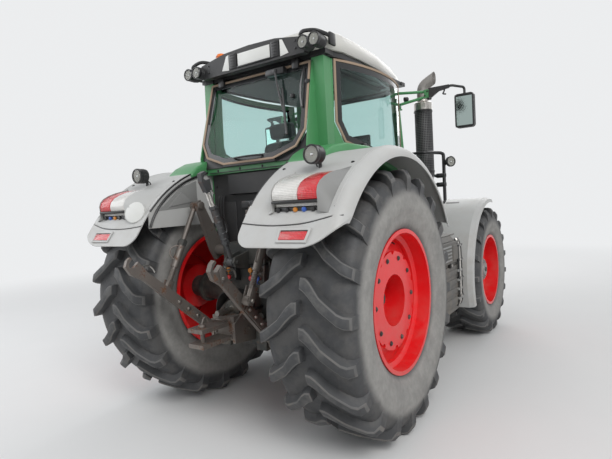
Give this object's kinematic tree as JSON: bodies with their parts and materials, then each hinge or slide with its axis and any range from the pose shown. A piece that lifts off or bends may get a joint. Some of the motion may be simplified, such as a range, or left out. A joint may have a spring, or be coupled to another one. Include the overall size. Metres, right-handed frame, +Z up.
{
  "type": "farm tractor",
  "caption": "Four-wheel-drive farm tractor with closed cab, lifting hood, steered front wheels and a rear three-point linkage.",
  "frame": {"origin": "on the ground under the middle of the overall length and width", "axes": "+Z up, forward along -Y, the tractor's left along +X"},
  "size_m": [2.82, 5.5798, 3.3511],
  "materials": {
    "beacon": "orange clear lens",
    "black_metal": "black satin paint",
    "box": "black moulded plastic",
    "engine": "dark casting",
    "exhaust": "heat-dulled dark grey",
    "fender": "warm light grey moulding, dusty",
    "frame_metal": "dark casting with dust",
    "glass": "lightly tinted glass",
    "green_paint": "deep green gloss paint",
    "hub": "grey paint over casting",
    "lamp": "clear lamp lens in a black housing",
    "lens": "red and clear lamp lens",
    "linkage": "brown grey worn steel with rust",
    "rim": "bright red paint, dusty",
    "roof": "cream grey moulding",
    "seat": "dark woven seat cloth",
    "trim": "dark grey cab trim",
    "tyre": "dusty black rubber"
  },
  "bodies": {
    "chassis": {"beacon": "beacon", "cab_frame": "green_paint", "cab_roof": "roof", "cab_steps": "black_metal", "engine_block": "engine", "exhaust_stack": "exhaust", "front_axle_beam": "frame_metal", "front_drive_shaft": "frame_metal", "front_support": "frame_metal", "fuel_tank": "box", "left_mirror": "black_metal", "linkage_carrier": "linkage", "mirror_frames": "green_paint", "rear_bulkhead": "box", "rear_couplers": "linkage", "rear_fender_left": "fender", "rear_fender_right": "fender", "rear_hitch": "linkage", "rear_window": "glass", "right_handrail": "black_metal", "right_mirror": "black_metal", "right_tool_box": "box", "right_window": "glass", "roof_rear_panel": "box", "seat": "seat", "seat_base": "trim", "steering_column": "trim", "tail_lamp_left": "lens", "tail_lamp_right": "lens", "transmission_case": "frame_metal", "windscreen": "glass", "work_lamps": "lamp"},
    "left_door": {"left_door_frame": "green_paint", "left_door_glass": "glass"},
    "hood": {"hood_shell": "green_paint", "hood_grille": "box", "headlamps": "lamp"},
    "knuckle_left": {"knuckle_left": "frame_metal", "front_fender_left": "fender"},
    "knuckle_right": {"knuckle_right": "frame_metal", "front_fender_right": "fender"},
    "front_wheel_left": {"front_tyre_left": "tyre", "front_rim_left": "rim", "front_hub_left": "hub"},
    "front_wheel_right": {"front_tyre_right": "tyre", "front_rim_right": "rim", "front_hub_right": "hub"},
    "rear_wheel_left": {"rear_tyre_left": "tyre", "rear_rim_left": "rim"},
    "rear_wheel_right": {"rear_tyre_right": "tyre", "rear_rim_right": "rim"},
    "tie_rod": {"tie_rod": "linkage"},
    "lower_links": {"lower_link_left": "linkage", "lower_link_right": "linkage"},
    "lift_arms": {"lift_arms": "linkage"},
    "lift_rods": {"lift_rod_left": "linkage", "lift_rod_right": "linkage"},
    "top_link": {"top_link": "linkage"},
    "pto_shaft": {"pto_shaft": "linkage"}
  },
  "joints": [
    {"name": "left_door_hinge", "type": "hinge", "parent": "chassis", "child": "left_door", "pos_m": [0.7, 0.054, 2.3], "axis": [0, 0, -1], "range_deg": [0, 75]},
    {"name": "hood_hinge", "type": "hinge", "parent": "chassis", "child": "hood", "pos_m": [0, -0.295, 2.005], "axis": [-1, 0, 0], "range_deg": [0, 50]},
    {"name": "steer_left", "type": "hinge", "parent": "chassis", "child": "knuckle_left", "pos_m": [0.82, -1.5, 0.82], "axis": [0, 0, 1], "range_deg": [-35, 35]},
    {"name": "steer_right", "type": "hinge", "parent": "chassis", "child": "knuckle_right", "pos_m": [-0.82, -1.5, 0.82], "axis": [0, 0, 1], "range_deg": [-35, 35]},
    {"name": "tie_rod_slide", "type": "slide", "parent": "chassis", "child": "tie_rod", "axis": [1, 0, 0], "range_m": [-0.12, 0.12]},
    {"name": "front_axle_left", "type": "hinge", "parent": "knuckle_left", "child": "front_wheel_left", "pos_m": [0.97, -1.5, 0.82], "axis": [1, 0, 0], "continuous": true},
    {"name": "front_axle_right", "type": "hinge", "parent": "knuckle_right", "child": "front_wheel_right", "pos_m": [-0.97, -1.5, 0.82], "axis": [1, 0, 0], "continuous": true},
    {"name": "rear_axle_left", "type": "hinge", "parent": "chassis", "child": "rear_wheel_left", "pos_m": [0.99, 1.55, 1.03], "axis": [1, 0, 0], "continuous": true},
    {"name": "rear_axle_right", "type": "hinge", "parent": "chassis", "child": "rear_wheel_right", "pos_m": [-0.99, 1.55, 1.03], "axis": [1, 0, 0], "continuous": true},
    {"name": "lower_link_pivot", "type": "hinge", "parent": "chassis", "child": "lower_links", "pos_m": [0, 1.95, 0.69], "axis": [1, 0, 0], "range_deg": [-63, 0]},
    {"name": "lift_arm_pivot", "type": "hinge", "parent": "chassis", "child": "lift_arms", "pos_m": [0, 1.85, 1.45], "axis": [1, 0, 0], "range_deg": [-101, 0]},
    {"name": "lift_rod_pivot", "type": "hinge", "parent": "lift_arms", "child": "lift_rods", "pos_m": [0, 2.03375, 1.86078], "axis": [1, 0, 0], "range_deg": [0, 98]},
    {"name": "top_link_pivot", "type": "hinge", "parent": "chassis", "child": "top_link", "pos_m": [0, 2.084, 1.375], "axis": [1, 0, 0], "range_deg": [-75, 0]},
    {"name": "pto_spin", "type": "hinge", "parent": "chassis", "child": "pto_shaft", "pos_m": [0, 2.15, 0.985], "axis": [0, 1, 0], "continuous": true}
  ],
  "couplings": [
    {"joint": "steer_right", "follows": "steer_left", "ratio": 1},
    {"joint": "tie_rod_slide", "follows": "steer_left", "m_per_rad": -0.1784},
    {"joint": "lift_arm_pivot", "follows": "lower_link_pivot", "ratio": 1.595},
    {"joint": "lift_rod_pivot", "follows": "lower_link_pivot", "ratio": -1.541}
  ]
}
